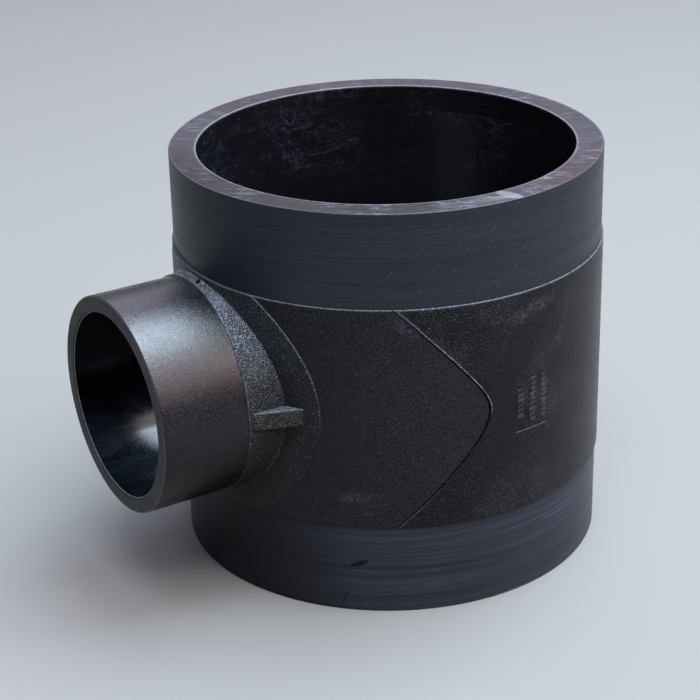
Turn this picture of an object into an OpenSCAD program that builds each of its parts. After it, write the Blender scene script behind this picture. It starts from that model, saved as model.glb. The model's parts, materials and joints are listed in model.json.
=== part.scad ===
// Reducing tee for butt fusion: a straight run with one smaller branch at mid height.
// The run stands on its lower end along +Z, and the branch points along +X.
// The origin is on the run's axis, in the plane of the lower end face. Millimetres.

/* [Run] */
// Outside diameter of the run's two pipe ends
run_od = 630; // [600:10:660]
// Wall thickness of the run's pipe ends
run_wall = 39.8; // [34:0.2:46]
// Height from end face to end face
tee_height = 602; // [600:2:640]
// Length of each machined pipe end
end_length = 135; // [120:1:136]
// Depth of the band that is bored inside each rim
band_depth = 28; // [10:1:60]
// How far the moulded bore stands in from the bored band
band_step = 1; // [0.8:0.1:3]

/* [Barrel] */
// How far the rear shell stands out from the pipe ends
shell_proud = 3; // [1.6:0.2:6]
// How far the branch panels lie below the rear shell
panel_sunk = 0.8; // [0.2:0.1:1.2]
// How far the saddle stands out from the branch panels
saddle_proud = 1.4; // [0.4:0.1:2.4]
// Radius of the round saddle about the branch
saddle_radius = 203.5; // [192:0.5:212]
// Distance of the seam's rounded point from the plane across the run's axis
seam_point = 36; // [20:1:60]
// How fast the seam leans towards the branch above and below its point
seam_lean = 0.97; // [0.8:0.01:1.1]

/* [Branch] */
// Outside diameter of the branch's pipe end
branch_od = 315; // [300:5:315]
// Wall thickness of the branch's pipe end
branch_wall = 23.6; // [18:0.2:30]
// Distance from the run's axis to the branch's end face
branch_reach = 458; // [440:1:500]
// Height of the branch's axis
branch_height = 300; // [299:1:302]
// Width and depth of the fine ring around the bore in the branch's end face
lip_size = 2.6; // [1:0.2:4]

/* [Collar] */
// Radius of the collar at its ring edge
collar_radius = 160; // [160:0.5:161]
// How much wider the collar is where it leaves the saddle
collar_flare = 2.5; // [0.5:0.5:3]
// Distance from the run's axis to the collar's ring edge
collar_reach = 330; // [327:1:340]

/* [Gusset] */
// Thickness of each gusset
gusset_thickness = 26; // [12:1:40]
// Distance from the run's axis to a gusset's tip, on the collar
gusset_tip = 323; // [310:1:326]
// Distance sideways from the branch's axis to a gusset's foot, on the saddle
gusset_foot = 184.5; // [178:0.5:190]

/* [Marking] */
// Height of the raised marks above the surface that they are on
mark_height = 0.7; // [0.4:0.1:1.5]
// Width of a raised mark's line
mark_line = 2; // [1:0.5:4]
// Angle from the branch to the middle of the marking
mark_angle = 96; // [92:1:140]

/* [Hidden] */
$fn = 180;

machined = [0.17, 0.17, 0.19];
moulded = [0.12, 0.12, 0.13];
textured = [0.20, 0.20, 0.23];
glossy = [0.22, 0.23, 0.27];

run_r = run_od / 2;
band_r = run_r - run_wall;
bore_r = band_r - band_step;
shell_r = run_r + shell_proud;
panel_r = shell_r - panel_sunk;
saddle_r = panel_r + saddle_proud;
barrel_low = end_length;
barrel_high = tee_height - end_length;
rim_chamfer = 1.2;
ledge_chamfer = 1.5;

branch_r = branch_od / 2;
branch_bore_r = branch_r - branch_wall;
flare_start = 292;
flare_end = 225;
flare_gain = 30;
clear = 60;

// Seam, gusset and marks
seam_steps = 14;
bead_width = 1.6;
bead_height = 0.6;
bead_half_length = 118;
bead_drop = 6;
tick_offset = 17;
tick_angle = 32;
tick_length = 11;
tick_height = 1.4;
bar_low = 255.5;
bar_angle = 10.7;
tile_length = 5.4;
tile_pitch = 7.8;
tile_angle = 1.8;
row_angle = 3.8;
row_lows = [278, 267, 267];
row_counts = [6, 9, 9];

// Turns a shape built along +Z about the origin so that it lies on the branch's axis.
module on_branch_axis() {
    translate([0, 0, branch_height])
        rotate([0, 90, 0])
            children();
}

// One pipe end of the run, its rim at z = 0 and its wall going down to z = -end_length.
module run_end() {
    outline = [
        [band_r + rim_chamfer, 0],
        [run_r - rim_chamfer, 0],
        [run_r, -rim_chamfer],
        [run_r, -end_length],
        [bore_r, -end_length],
        [bore_r, -band_depth - band_step],
        [band_r, -band_depth],
        [band_r, -rim_chamfer]
    ];
    rotate_extrude()
        polygon(outline);
}

// The whole wall of the barrel, out to the given radius, with both its ledges chamfered.
module barrel_wall(outer_r) {
    outline = [
        [bore_r, barrel_low],
        [outer_r - ledge_chamfer, barrel_low],
        [outer_r, barrel_low + ledge_chamfer],
        [outer_r, barrel_high - ledge_chamfer],
        [outer_r - ledge_chamfer, barrel_high],
        [bore_r, barrel_high]
    ];
    rotate_extrude()
        polygon(outline);
}

// A thin cylindrical skin about the run's axis.
module run_skin(inner_r, thickness, low, high) {
    rotate_extrude()
        translate([inner_r, low])
            square([thickness, high - low]);
}

// Distance of the seam from the plane across the run's axis, at a height above the branch's axis.
function seam_x(rise) = norm([seam_point, seam_lean * rise]);

// Points of the seam from its lower end to its upper end, moved along X.
function seam_points(reach, shift) = [
    for (i = [-seam_steps : seam_steps])
        let (rise = reach * i / seam_steps)
            [seam_x(rise) + shift, branch_height + rise]
];

// Extrudes an outline in the XZ plane along Y, across the whole run.
module across_run() {
    rotate([90, 0, 0])
        linear_extrude(height = 2 * (run_r + clear), center = true)
            children();
}

// Everything on the branch's side of the pointed seam.
module branch_side() {
    reach = tee_height / 2 - end_length + 10;
    far = run_r + clear;
    corners = [[far, branch_height + reach], [far, branch_height - reach]];
    across_run()
        polygon(concat(seam_points(reach, 0), corners));
}

// A narrow band along the seam, on the rear shell's side of it.
module seam_band(width, reach) {
    front = seam_points(reach, -0.1);
    back = seam_points(reach, -0.1 - width);
    across_run()
        polygon(concat(front, [for (i = [len(back) - 1 : -1 : 0]) back[i]]));
}

// The half of space on one side of the run: 1 is the left (+Y), -1 is the right.
module side_half(side) {
    size = 4 * run_r;
    translate([-size / 2, side > 0 ? 0 : -size, -clear])
        cube([size, size, tee_height + 2 * clear]);
}

// The cylinder about the branch's axis that separates the saddle from the panels.
module saddle_plug() {
    on_branch_axis()
        cylinder(r = saddle_radius, h = branch_reach);
}

// The branch's bore, with a flared mouth where it opens into the run.
module branch_bore() {
    on_branch_axis()
        cylinder(r = branch_bore_r, h = branch_reach + clear);
    on_branch_axis()
        translate([0, 0, flare_end])
            cylinder(r1 = branch_bore_r + flare_gain, r2 = branch_bore_r, h = flare_start - flare_end);
}

// The collar before it is cut to the saddle and bored.
module collar_cone() {
    foot = bore_r - clear;
    on_branch_axis()
        translate([0, 0, foot])
            cylinder(r1 = collar_radius + collar_flare, r2 = collar_radius, h = collar_reach - foot);
}

// The solid cylinder inside the saddle's outer surface.
module saddle_body() {
    translate([0, 0, barrel_low - clear])
        cylinder(r = saddle_r, h = barrel_high - barrel_low + 2 * clear);
}

module upper_run_spigot() {
    color(machined)
        translate([0, 0, tee_height])
            run_end();
}

module lower_run_spigot() {
    color(machined)
        mirror([0, 0, 1])
            run_end();
}

module rear_shell() {
    color(moulded)
        difference() {
            barrel_wall(shell_r);
            branch_side();
        }
}

module branch_panel(side) {
    color(moulded)
        intersection() {
            difference() {
                barrel_wall(panel_r);
                saddle_plug();
            }
            branch_side();
            side_half(side);
        }
}

module branch_saddle() {
    color(textured)
        difference() {
            intersection() {
                barrel_wall(saddle_r);
                saddle_plug();
            }
            branch_bore();
        }
}

module branch_collar() {
    color(textured)
        difference() {
            collar_cone();
            saddle_body();
            branch_bore();
        }
}

module branch_spigot() {
    outline = [
        [branch_bore_r, collar_reach],
        [branch_r, collar_reach],
        [branch_r, branch_reach - rim_chamfer],
        [branch_r - rim_chamfer, branch_reach],
        [branch_bore_r + lip_size, branch_reach],
        [branch_bore_r + lip_size, branch_reach - 0.6],
        [branch_bore_r + 0.8, branch_reach - 0.6],
        [branch_bore_r, branch_reach - 1.4]
    ];
    color(glossy)
        on_branch_axis()
            rotate_extrude()
                polygon(outline);
}

// A gusset in the corner between collar and saddle. Its outer face runs straight from tip to foot.
module gusset_rib(side) {
    tip_y = collar_radius;
    foot_x = sqrt(saddle_r * saddle_r - gusset_foot * gusset_foot);
    corner_x = foot_x - 8;
    corner_y = collar_radius - 8;
    outline = [[gusset_tip, tip_y], [foot_x, gusset_foot], [corner_x, corner_y], [gusset_tip, corner_y]];
    color(textured)
        difference() {
            translate([0, 0, branch_height - gusset_thickness / 2])
                linear_extrude(height = gusset_thickness)
                    scale([1, side])
                        polygon(outline);
            collar_cone();
            saddle_body();
        }
}

// A short raised line that leans across the crown of the collar.
module crown_tick() {
    low = branch_height + branch_r;
    high = branch_height + collar_radius + collar_flare + tick_height;
    color(textured)
        difference() {
            translate([collar_reach - tick_length / 2, tick_offset, low])
                rotate([0, 0, tick_angle])
                    translate([-tick_length / 2, -mark_line / 2, 0])
                        cube([tick_length, mark_line, high - low]);
            collar_cone();
            saddle_body();
        }
}

// A raised bead along the upper half of the seam, from just below its point, on the rear shell's edge.
module seam_bead(side) {
    color(textured)
        intersection() {
            run_skin(shell_r, bead_height, branch_height - bead_drop, barrel_high - ledge_chamfer);
            seam_band(bead_width, bead_half_length);
            side_half(side);
        }
}

// A raised patch on the rear shell that spans an angle and a height.
module raised_patch(start_angle, span, low, height) {
    rotate([0, 0, start_angle])
        rotate_extrude(angle = span)
            translate([shell_r, low])
                square([mark_height, height]);
}

module marking_bar() {
    color(moulded)
        raised_patch(mark_angle - bar_angle / 2, bar_angle, bar_low, mark_line);
}

// Rows of blank tiles, each row running up the shell.
module marking_blanks() {
    color(moulded)
        for (row = [0 : len(row_counts) - 1])
            for (i = [0 : row_counts[row] - 1])
                raised_patch(mark_angle + (row - 1) * row_angle - tile_angle / 2, tile_angle,
                    row_lows[row] + i * tile_pitch, tile_length);
}

upper_run_spigot();
lower_run_spigot();
rear_shell();
branch_panel(1);  // branch_panel_left
branch_panel(-1);  // branch_panel_right
branch_saddle();
branch_collar();
branch_spigot();
gusset_rib(1);  // gusset_rib_left
gusset_rib(-1);  // gusset_rib_right
crown_tick();
seam_bead(1);  // seam_bead_left
seam_bead(-1);  // seam_bead_right
marking_bar();
marking_blanks();
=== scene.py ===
import json
import math

import bpy
import numpy as np
from mathutils import Matrix, Vector


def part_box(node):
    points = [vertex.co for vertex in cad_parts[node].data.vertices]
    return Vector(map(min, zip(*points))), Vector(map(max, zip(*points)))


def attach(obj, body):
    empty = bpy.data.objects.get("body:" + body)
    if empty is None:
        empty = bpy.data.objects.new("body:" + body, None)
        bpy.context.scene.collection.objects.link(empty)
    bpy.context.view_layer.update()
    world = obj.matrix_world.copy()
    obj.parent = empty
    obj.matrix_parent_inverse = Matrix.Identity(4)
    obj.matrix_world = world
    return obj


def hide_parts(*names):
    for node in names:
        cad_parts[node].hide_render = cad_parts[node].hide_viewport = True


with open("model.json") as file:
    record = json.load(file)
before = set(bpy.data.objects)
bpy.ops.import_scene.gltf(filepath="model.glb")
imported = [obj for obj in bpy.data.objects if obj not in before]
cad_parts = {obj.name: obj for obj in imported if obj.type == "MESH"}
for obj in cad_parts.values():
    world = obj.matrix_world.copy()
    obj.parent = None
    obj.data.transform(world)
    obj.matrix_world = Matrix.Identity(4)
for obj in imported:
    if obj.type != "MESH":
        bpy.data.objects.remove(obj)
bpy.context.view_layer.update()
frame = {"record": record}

# ---------------- sizes, in millimetres, from the frame
METRE = 1000.0
MOUNTS = {m["name"]: m for m in frame["record"]["mounts"]}


def size_of(mount, key):
    return MOUNTS[mount]["dims"][key]


def corner(node, high):
    return np.array(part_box(node)[1 if high else 0]) * METRE


RUN_R = size_of("upper_spigot", "r_mm")
BAND_R = size_of("upper_bore", "r_mm")
BAND_DEPTH = size_of("upper_bore", "length_mm")
BORE_R = BAND_R - 0.4
TOP_Z = MOUNTS["upper_spigot"]["pos_m"][2] * METRE
BRANCH_R = size_of("branch_spigot_outside", "r_mm")
BRANCH_BORE_R = size_of("branch_bore", "r_mm")
BRANCH_X = MOUNTS["branch_spigot_outside"]["pos_m"][0] * METRE
BRANCH_Z = MOUNTS["branch_spigot_outside"]["pos_m"][2] * METRE
BARREL_LOW = corner("rear_shell", False)[2]
BARREL_HIGH = corner("rear_shell", True)[2]
SHELL_R = -corner("rear_shell", False)[0]
COLLAR_X = corner("branch_collar", True)[0]
SADDLE_PROUD = 1.4
PANEL_R = SHELL_R - 0.8
SADDLE_R = PANEL_R + SADDLE_PROUD
SADDLE_RADIUS = 203.5
COLLAR_R = 160.0
COLLAR_FLARE = 2.5
SEAM_POINT = 36.0
SEAM_LEAN = 0.97
GAP_WIDTH = 3.1
GAP_DEPTH = 2.2
RIM_ROUND = 1.2
LEDGE_ROUND = 1.6
RIM_STEPS = 512
BRANCH_STEPS = 640
SHARP_ANGLE = math.radians(38)
SADDLE_SEED, COLLAR_SEED, GUSSET_SEED = 31, 41, 61


# ---------------- noise and mesh helpers
def lattice_noise(points, cell, seed):
    """Smooth noise from -1 to 1 at each point; cell is the size of its grain in the points' unit."""
    scaled = np.asarray(points, float) / cell
    base = np.floor(scaled).astype(np.int64)
    part = scaled - base
    part = part * part * (3 - 2 * part)
    total = np.zeros(len(scaled))
    for corner_id in range(8):
        step = np.array([corner_id & 1, corner_id >> 1 & 1, corner_id >> 2 & 1])
        cell_id = (base + step).astype(np.uint64)
        mixed = cell_id[:, 0] * np.uint64(73856093) ^ cell_id[:, 1] * np.uint64(19349663)
        mixed ^= cell_id[:, 2] * np.uint64(83492791) ^ np.uint64(seed * 2654435761 % 2**32)
        mixed &= np.uint64(0xFFFFFFFF)
        for shift in (15, 12, 16):
            mixed ^= mixed >> np.uint64(shift)
            mixed = mixed * np.uint64(0x2C1B3C6D) & np.uint64(0xFFFFFFFF)
        value = mixed.astype(float) / 2**31 - 1
        total += value * np.prod(np.where(step, part, 1 - part), axis=1)
    return total


def noise_at(z, cell, seed, x=0.0, y=0.0):
    """The same noise at places with the given coordinates, each of them a row or one number."""
    return lattice_noise(np.stack(np.broadcast_arrays(x, y, z), axis=1), cell, seed)


def coarse_grain(points, seed):
    """Relief of the coarse spark-eroded texture, from about -1 to 1."""
    return 0.65 * lattice_noise(points, 3.1, seed) + 0.35 * lattice_noise(points, 1.7, seed + 1)


def rounding(distance, radius):
    """How far a rounded edge falls below its face, at a distance from the edge."""
    gone = np.clip(1 - np.asarray(distance, float) / radius, 0, 1)
    return radius * (1 - np.sqrt(1 - gone * gone))


def edge_rows(length, radius, pitch):
    """Places from 0 to length: close together at both ends for rounded edges, else a pitch apart."""
    near = radius * np.array([0, 0.08, 0.25, 0.55, 1.0, 2.0])
    count = max(2, int(round((length - 2 * near[-1]) / pitch)))
    middle = np.linspace(near[-1], length - near[-1], count + 1)[1:-1]
    return np.concatenate([near, middle, length - near[::-1]])


def signed_volume(points, quads):
    a, b, c, d = (points[quads[:, n]] for n in range(4))
    return np.sum(a * (np.cross(b, c) + np.cross(c, d)))


def edge_wear(distance, width):
    """1 at an edge, falling to 0 at a distance from it."""
    return np.clip(1 - np.abs(distance) / width, 0, 1)


def put(name, data):
    """Adds an object to the scene."""
    made = bpy.data.objects.new(name, data)
    bpy.context.scene.collection.objects.link(made)
    return made


def add_piece(node, kind, shape, materials, wear=None, seed=None):
    """Makes a piece from a closed shape of quads, in millimetres, in place of a node of the CAD.
    wear, and the grain of a seed, are numbers for each point, which the materials read: pale edge wear and
    painted highlight above 0, painted shade in gaps below 0."""
    points, quads, groups = shape
    grain = None if seed is None else coarse_grain(points, seed)
    if signed_volume(points - points.mean(axis=0), quads) < 0:
        quads = quads[:, ::-1]
    mesh = bpy.data.meshes.new(node + "_" + kind)
    mesh.vertices.add(len(points))
    mesh.vertices.foreach_set("co", (points / METRE).astype(np.float32).ravel())
    mesh.loops.add(quads.size)
    mesh.loops.foreach_set("vertex_index", quads.astype(np.int32).ravel())
    mesh.polygons.add(len(quads))
    mesh.polygons.foreach_set("loop_start", np.arange(0, quads.size, 4, dtype=np.int32))
    mesh.polygons.foreach_set("material_index", np.asarray(groups, np.int32))
    mesh.polygons.foreach_set("use_smooth", np.ones(len(quads), bool))
    for title, values in (("grain", grain), ("wear", wear)):
        if values is not None:
            attribute = mesh.attributes.new(title, "FLOAT", "POINT")
            attribute.data.foreach_set("value", values.astype(np.float32))
    mesh.update(calc_edges=True)
    mesh.set_sharp_from_angle(angle=SHARP_ANGLE)
    for material in materials:
        mesh.materials.append(material)
    piece = put(mesh.name, mesh)
    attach(piece, "root")
    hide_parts(node)


def sheet(ids, turned=False):
    """Quads between the neighbours in a grid of point numbers."""
    a, b, c, d = ids[:-1, :-1], ids[1:, :-1], ids[1:, 1:], ids[:-1, 1:]
    order = (a, d, c, b) if turned else (a, b, c, d)
    return np.stack([x.ravel() for x in order], axis=1)


def slab(rows, place, closed=False, sides=(0, 0, 0, 0, 0, 0), extra=None):
    """Skin of a box-like solid on a grid with the given three rows, of which the first may be closed to
    a ring. place(i, j, k) gives the points. sides are the material groups of the sides k low, k high,
    j low, j high, i low and i high. Returns points, quads and groups, and what extra(i, j, k) gives."""
    ids = np.full([len(row) for row in rows], -1)
    skin = np.zeros(ids.shape, bool)
    skin[:, [0, -1]] = True
    skin[:, :, [0, -1]] = True
    if not closed:
        skin[[0, -1]] = True
    i, j, k = np.nonzero(skin)
    ids[i, j, k] = np.arange(len(i))
    if closed:
        ids = np.concatenate([ids, ids[:1]])
    sheets = [sheet(ids[:, :, 0], True), sheet(ids[:, :, -1]), sheet(ids[:, 0]), sheet(ids[:, -1], True)]
    if not closed:
        sheets += [sheet(ids[0], True), sheet(ids[-1])]
    groups = np.concatenate([np.full(len(s), g) for s, g in zip(sheets, sides)])
    shape = place(i, j, k), np.concatenate(sheets), groups
    return shape if extra is None else (shape, extra(i, j, k))


def wall(radius, height):
    """Profile points of a lathe: either value may be one number for all of them."""
    return np.stack(np.broadcast_arrays(radius, height), axis=1)


def lathe(parts, place, wear_and_painted_light_at):
    """A closed ring, turned in RIM_STEPS steps from a closed profile. Each part of the profile is its
    (radius, height) points and their material group. place(angle, radius, height) gives the points.
    Returns points, quads and groups, and the wear and painted light that wear_and_painted_light_at(radius,
    height) gives."""
    profile = np.concatenate([points for points, _ in parts])
    groups = np.concatenate([np.full(len(points), group) for points, group in parts])
    ids = np.arange(RIM_STEPS * len(profile)).reshape(RIM_STEPS, -1)
    angle = np.repeat(np.linspace(0, 2 * math.pi, RIM_STEPS, endpoint=False), len(profile))
    radius, height = np.tile(profile, (RIM_STEPS, 1)).T
    quads = sheet(np.pad(ids, (0, 1), mode="wrap"))
    return (place(angle, radius, height), quads, np.tile(groups, RIM_STEPS)), wear_and_painted_light_at(radius, height)


def about_run(angle, radius, z):
    return np.stack([radius * np.cos(angle), radius * np.sin(angle), z], axis=-1)


def about_branch(angle, radius, x):
    return np.stack([x, radius * np.cos(angle), BRANCH_Z + radius * np.sin(angle)], axis=-1)


# ---------------- materials
RUN_AXIS = (0.0, 0.0, 0.0)
BRANCH_AXIS = (0.0, 0.0, BRANCH_Z / METRE)
# Painted shade: near black laid into gaps and grooves, where shadow would fall.
GAP_PAINTED_SHADE = (0.0002, 0.0002, 0.0002)


class Nodes:
    """A node tree, with short calls for the nodes that this script uses."""

    def __init__(self, tree):
        self.nodes, self.links = tree.nodes, tree.links

    def node(self, kind, **settings):
        made = self.nodes.new(kind)
        for key, value in settings.items():
            setattr(made, key, value)
        return made

    def feed(self, value, socket):
        if isinstance(value, bpy.types.NodeSocket):
            self.links.new(value, socket)
        else:
            socket.default_value = value

    def vector(self, operation, a, b=(0.0, 0.0, 0.0)):
        """Vector maths. Gives the number for a dot product or a length, and else the vector."""
        made = self.node("ShaderNodeVectorMath", operation=operation)
        self.feed(a, made.inputs[0])
        self.feed(b, made.inputs[1])
        return made.outputs["Value" if operation in ("DOT_PRODUCT", "LENGTH") else "Vector"]

    def math(self, operation, a, b=0.0, clamp=False):
        made = self.node("ShaderNodeMath", operation=operation, use_clamp=clamp)
        self.feed(a, made.inputs[0])
        self.feed(b, made.inputs[1])
        return made.outputs[0]

    def times(self, a, b):
        return self.math("MULTIPLY", a, b)

    def span(self, value, low, high, out_low=0.0, out_high=1.0):
        """Spreads value from low..high to out_low..out_high, clamped and smoothed."""
        made = self.node("ShaderNodeMapRange", interpolation_type="SMOOTHSTEP")
        self.feed(value, made.inputs[0])
        for n, number in enumerate((low, high, out_low, out_high), start=1):
            made.inputs[n].default_value = number
        return made.outputs[0]

    def blend(self, share, a, b):
        """Colour a where share is 0, and b where it is 1."""
        made = self.node("ShaderNodeMix", data_type="RGBA")
        self.feed(share, made.inputs["Factor"])
        for value, socket in ((a, made.inputs[6]), (b, made.inputs[7])):
            self.feed((*value, 1.0) if isinstance(value, tuple) else value, socket)
        return made.outputs[2]


class Shader(Nodes):
    """A material whose shade is built up in layers, with short calls for its patterns and relief."""

    def __init__(self, name, shade, specular):
        self.material = bpy.data.materials.new(name)
        self.material.use_nodes = True
        super().__init__(self.material.node_tree)
        self.bsdf = self.nodes["Principled BSDF"]
        self.bsdf.inputs["Specular IOR Level"].default_value = specular
        self.place = self.node("ShaderNodeTexCoord").outputs["Object"]
        self.shade = shade
        self.normal = None

    def layer(self, share, colour):
        """Lays a colour over the shade, where share is above 0."""
        self.shade = self.blend(share, self.shade, colour)

    def noise(self, scale, detail=3.0, roughness=0.55, distortion=0.0, at=None):
        """Clouds from 0 to 1. scale is their number per metre, or per unit of another coordinate."""
        made = self.node("ShaderNodeTexNoise")
        self.feed(self.place if at is None else at, made.inputs["Vector"])
        settings = {"Scale": scale, "Detail": detail, "Roughness": roughness, "Distortion": distortion}
        for title, value in settings.items():
            made.inputs[title].default_value = value
        return made.outputs[0]

    def drawn(self, scales, detail=3.0, roughness=0.55, distortion=0.0, turned=None):
        """Noise that is drawn out: scales are its clouds per metre along each axis, and turned turns
        those axes by three angles in degrees."""
        place = self.place
        if turned is not None:
            mapping = self.node("ShaderNodeMapping", vector_type="TEXTURE")
            self.feed(place, mapping.inputs["Vector"])
            mapping.inputs["Rotation"].default_value = [math.radians(a) for a in turned]
            place = mapping.outputs[0]
        return self.noise(1.0, detail, roughness, distortion, self.vector("MULTIPLY", place, scales))

    def flat(self, axis, centre):
        """Offset from an axis, square to it."""
        off = self.vector("SUBTRACT", self.place, centre)
        return self.vector("MULTIPLY", off, [0 if n == axis else 1 for n in range(3)])

    def rings(self, axis, centre, direction_scale, radius_scale):
        """A seamless coordinate for marks about an axis: radial if radius_scale is small, else circles."""
        flat = self.flat(axis, centre)
        spread = self.vector("MULTIPLY", self.vector("NORMALIZE", flat), [direction_scale] * 3)
        combine = self.node("ShaderNodeCombineXYZ")
        self.feed(self.times(self.vector("LENGTH", flat), radius_scale), combine.inputs[axis])
        return self.vector("ADD", spread, combine.outputs[0])

    def waves(self, scale, distortion, detail):
        """Level lines, one above another."""
        made = self.node("ShaderNodeTexWave", bands_direction="Z")
        self.feed(self.place, made.inputs["Vector"])
        for title, value in {"Scale": scale, "Distortion": distortion, "Detail": detail}.items():
            made.inputs[title].default_value = value
        return made.outputs["Fac"]

    def specks(self, scale, size, share):
        """Small scattered dots: scale is dots per metre, size and share are fractions."""
        made = self.node("ShaderNodeTexVoronoi")
        self.feed(self.place, made.inputs["Vector"])
        made.inputs["Scale"].default_value = scale
        near = self.span(made.outputs["Distance"], size, size * 0.5)
        chosen = self.node("ShaderNodeSeparateColor")
        self.feed(made.outputs["Color"], chosen.inputs[0])
        return self.times(near, self.math("GREATER_THAN", chosen.outputs[0], 1 - share))

    def patch(self, centre, direction, half_length, half_width, soft=0.4):
        """A ragged mark at a place, along a direction. Its half length and half width are in millimetres,
        and soft widens its fading edge."""
        off = self.vector("SUBTRACT", self.place, centre)
        whole = self.math("POWER", self.vector("LENGTH", off), 2.0)
        along = self.math("POWER", self.vector("DOT_PRODUCT", off, direction), 2.0)
        across = self.math("DIVIDE", self.math("SUBTRACT", whole, along), (half_width / METRE)**2)
        reach = self.math("ADD", self.math("DIVIDE", along, (half_length / METRE)**2), across)
        ragged = self.times(self.drawn((160, 160, 420)), 1.6)
        return self.span(self.math("ADD", reach, ragged), 1.9, 1.9 - soft)

    def attribute(self, title):
        return self.node("ShaderNodeAttribute", attribute_name=title).outputs["Fac"]

    def wear(self, pale, share=1.0):
        """Lays pale, broken marks where the mesh marks an edge, which are wear on some edges and a painted
        highlight on others, and painted shade, near black, where it marks a gap or groove.
        """
        marked = self.attribute("wear")
        broken = self.span(self.noise(350.0, 2.0), 0.3, 0.55, 0.35, 1.0)
        self.layer(self.math("MULTIPLY", marked, self.times(broken, share), clamp=True), pale)
        self.layer(self.math("MULTIPLY", marked, -1.0, clamp=True), GAP_PAINTED_SHADE)

    def toward(self, x, y):
        """How far a place lies in a level direction from the run's axis: 1 in it, and -1 opposite."""
        unit = self.vector("NORMALIZE", self.flat(2, RUN_AXIS))
        return self.vector("DOT_PRODUCT", unit, Vector((x, y, 0.0)).normalized())

    def part(self, axis):
        """One coordinate of the place, in metres."""
        split = self.node("ShaderNodeSeparateXYZ")
        self.feed(self.place, split.inputs[0])
        return split.outputs[axis]

    def bump(self, height, distance, strength=1.0):
        """Adds relief; distance is the height of a full step in metres."""
        made = self.node("ShaderNodeBump")
        made.inputs["Strength"].default_value = strength
        made.inputs["Distance"].default_value = distance
        self.feed(height, made.inputs["Height"])
        if self.normal is not None:
            self.feed(self.normal, made.inputs["Normal"])
        self.normal = made.outputs[0]

    def finish(self, roughness):
        self.feed(self.shade, self.bsdf.inputs["Base Color"])
        self.feed(roughness, self.bsdf.inputs["Roughness"])
        if self.normal is not None:
            self.feed(self.normal, self.bsdf.inputs["Normal"])
        return self.material


def brighter(colour, times):
    return tuple(times * part for part in colour)


def spot(radius, degrees, height, slant, on_rim=False):
    """A place on the run's wall or on its rim, and a direction there that is slanted from the level
    tangent by an angle, up the wall or outward on the rim."""
    turn, slope = math.radians(degrees), math.radians(slant)
    outward = Vector((math.cos(turn), math.sin(turn), 0.0))
    level = Vector((-math.sin(turn), math.cos(turn), 0.0))
    up = Vector((0.0, 0.0, 1.0))
    direction = level * math.cos(slope) + (outward if on_rim else up) * math.sin(slope)
    return (outward * radius + up * height) / METRE, direction


def turned_wall(name, dark, light, streak, dust):
    """Outside of a machined pipe end: fine turning lines, smeared bands, and specks of dust.
    Gives the material, not finished yet, and its roughness."""
    s = Shader(name, dark, 0.18)
    fine = s.drawn((3, 3, 430), 2.0, 0.7)
    bands = s.drawn((1.4, 1.4, 75))
    smears = s.drawn((4, 4, 330), 4.0, 0.6)
    patches = s.noise(6.0)
    s.bump(s.waves(52.0, 0.6, 1.0), 0.00004)
    s.bump(fine, 0.00006)
    s.bump(bands, 0.00003)
    s.layer(s.span(bands, 0.25, 0.8), light)
    s.layer(s.span(fine, 0.42, 0.66, 0, 0.55), brighter(light, 1.35))
    smeared = s.times(s.span(smears, 0.48, 0.7), s.span(patches, 0.38, 0.62, 0, streak))
    s.layer(smeared, brighter(light, 2.6))
    dusty_side = s.span(s.toward(-0.5, 0.87), 0.2, 0.95, 0.15 * dust, dust)
    s.layer(s.times(s.specks(260, 0.17, 0.9), dusty_side), (0.105, 0.112, 0.13))
    s.layer(s.specks(90, 0.055, 0.4 * dust), (0.24, 0.25, 0.27))
    return s, s.span(bands, 0.3, 0.7, 0.42, 0.36)


def turned_top():
    """The upper end is dusty, and has painted shade on the side over the branch."""
    dark, light = (0.0108, 0.0128, 0.0176), (0.0144, 0.0172, 0.0235)
    s, roughness = turned_wall("turned_wall_top", dark, light, 0.1, 0.9)
    # Painted shade: darker on the side over the branch.
    s.layer(s.span(s.toward(0.99, 0.05), 0.8, 0.99, 0.0, 0.5), (0.005, 0.0056, 0.0075))
    return s.finish(roughness)


def turned_low():
    """The lower end has painted shadow under the branch, and also has a dark rubbed scuff and a faint
    scratch.
    """
    dark, light = (0.0104, 0.0118, 0.0168), (0.0196, 0.0222, 0.0316)
    s, roughness = turned_wall("turned_wall_low", dark, light, 0.55, 0.12)
    # Painted shadow: near black on the side under the branch.
    s.layer(s.span(s.toward(0.99, 0.1), 0.7, 0.98, 0.0, 0.8), (0.0016, 0.0017, 0.002))
    s.layer(s.patch(*spot(RUN_R, 48.9, 76.7, 20.5), 15.0, 4.0), (0.001, 0.001, 0.0014))
    s.layer(s.patch(*spot(RUN_R, 44.8, 16.0, 66.0), 16.0, 0.9), (0.0012, 0.0012, 0.0016))
    return s.finish(roughness)


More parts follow.
